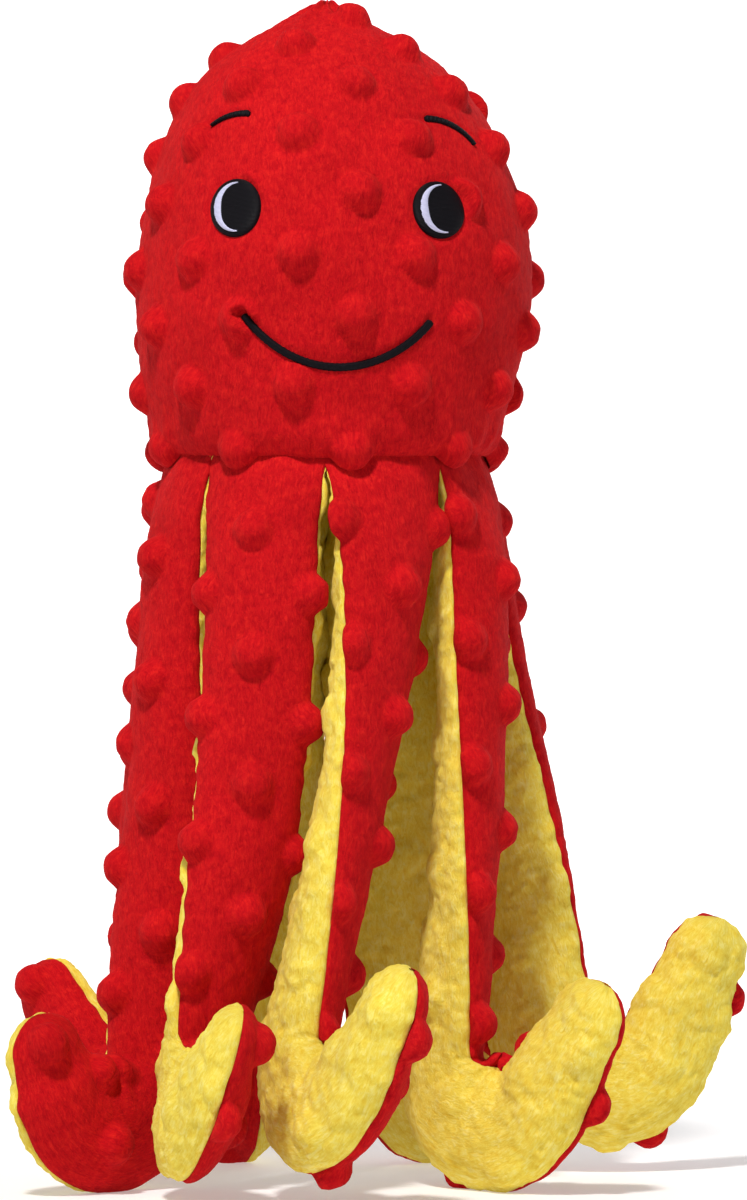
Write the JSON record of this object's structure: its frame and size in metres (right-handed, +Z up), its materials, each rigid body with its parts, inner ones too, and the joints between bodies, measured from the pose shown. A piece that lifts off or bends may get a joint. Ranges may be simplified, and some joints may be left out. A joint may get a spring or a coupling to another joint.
{
  "type": "plush octopus toy",
  "caption": "Stuffed octopus toy: a pointed dome head with an embroidered smiling face, on hooked plush tentacles with yellow undersides that swing from the neck seam.",
  "frame": {"origin": "middle of the toy's outline on the plane its tentacle hooks rest on", "axes": "+Z up along the head's axis, which stands 15.3 mm to the -X side of the origin and 0.84 mm to its +Y side; the face looks along -Y; +X is on the right seen from the front"},
  "size_m": [0.2117, 0.1978, 0.335],
  "materials": {
    "red_minky": "short plush pile with raised dots",
    "yellow_minky": "fluffier plush pile with raised dots",
    "fibre_fill": "polyester fibre fill",
    "squeaker_plastic": "moulded polyethylene",
    "black_thread": "satin-stitched thread",
    "pale_thread": "satin-stitched thread"
  },
  "bodies": {
    "head": {"head_front_panel": "red_minky", "head_back_panel": "red_minky", "base_disc": "yellow_minky", "head_stuffing": "fibre_fill", "squeaker_body": "squeaker_plastic", "squeaker_reed": "squeaker_plastic", "smile": "black_thread", "eye_left": "black_thread", "eye_left_highlight": "pale_thread", "eyebrow_left": "black_thread", "eye_right": "black_thread", "eye_right_highlight": "pale_thread", "eyebrow_right": "black_thread"},
    "tentacle_1": {"tentacle_1_outer_panel": "red_minky", "tentacle_1_inner_panel": "yellow_minky", "tentacle_1_stuffing": "fibre_fill"},
    "tentacle_2": {"tentacle_2_outer_panel": "red_minky", "tentacle_2_inner_panel": "yellow_minky", "tentacle_2_stuffing": "fibre_fill"},
    "tentacle_3": {"tentacle_3_outer_panel": "red_minky", "tentacle_3_inner_panel": "yellow_minky", "tentacle_3_stuffing": "fibre_fill"},
    "tentacle_4": {"tentacle_4_outer_panel": "red_minky", "tentacle_4_inner_panel": "yellow_minky", "tentacle_4_stuffing": "fibre_fill"},
    "tentacle_5": {"tentacle_5_outer_panel": "red_minky", "tentacle_5_inner_panel": "yellow_minky", "tentacle_5_stuffing": "fibre_fill"},
    "tentacle_6": {"tentacle_6_outer_panel": "red_minky", "tentacle_6_inner_panel": "yellow_minky", "tentacle_6_stuffing": "fibre_fill"},
    "tentacle_7": {"tentacle_7_outer_panel": "red_minky", "tentacle_7_inner_panel": "yellow_minky", "tentacle_7_stuffing": "fibre_fill"},
    "tentacle_8": {"tentacle_8_outer_panel": "red_minky", "tentacle_8_inner_panel": "yellow_minky", "tentacle_8_stuffing": "fibre_fill"}
  },
  "joints": [
    {"name": "tentacle_1_swing", "type": "hinge", "parent": "head", "child": "tentacle_1", "pos_m": [-0.05595, -0.016, 0.2], "axis": [-0.3827, 0.9239, 0], "range_deg": [0, 90], "stiffness_Nm_per_rad": 0.12, "springref_deg": -3.44},
    {"name": "tentacle_2_swing", "type": "hinge", "parent": "head", "child": "tentacle_2", "pos_m": [-0.03214, -0.03981, 0.2], "axis": [-0.9239, 0.3827, 0], "range_deg": [0, 90], "stiffness_Nm_per_rad": 0.12, "springref_deg": -3.44},
    {"name": "tentacle_3_swing", "type": "hinge", "parent": "head", "child": "tentacle_3", "pos_m": [0.00154, -0.03981, 0.2], "axis": [-0.9239, -0.3827, 0], "range_deg": [0, 90], "stiffness_Nm_per_rad": 0.12, "springref_deg": -3.44},
    {"name": "tentacle_4_swing", "type": "hinge", "parent": "head", "child": "tentacle_4", "pos_m": [0.02535, -0.016, 0.2], "axis": [-0.3827, -0.9239, 0], "range_deg": [0, 90], "stiffness_Nm_per_rad": 0.12, "springref_deg": -3.44},
    {"name": "tentacle_5_swing", "type": "hinge", "parent": "head", "child": "tentacle_5", "pos_m": [0.02535, 0.01768, 0.2], "axis": [0.3827, -0.9239, 0], "range_deg": [0, 90], "stiffness_Nm_per_rad": 0.12, "springref_deg": -3.44},
    {"name": "tentacle_6_swing", "type": "hinge", "parent": "head", "child": "tentacle_6", "pos_m": [0.00154, 0.04149, 0.2], "axis": [0.9239, -0.3827, 0], "range_deg": [0, 90], "stiffness_Nm_per_rad": 0.12, "springref_deg": -3.44},
    {"name": "tentacle_7_swing", "type": "hinge", "parent": "head", "child": "tentacle_7", "pos_m": [-0.03214, 0.04149, 0.2], "axis": [0.9239, 0.3827, 0], "range_deg": [0, 90], "stiffness_Nm_per_rad": 0.12, "springref_deg": -3.44},
    {"name": "tentacle_8_swing", "type": "hinge", "parent": "head", "child": "tentacle_8", "pos_m": [-0.05595, 0.01768, 0.2], "axis": [0.3827, 0.9239, 0], "range_deg": [0, 90], "stiffness_Nm_per_rad": 0.12, "springref_deg": -3.44}
  ]
}
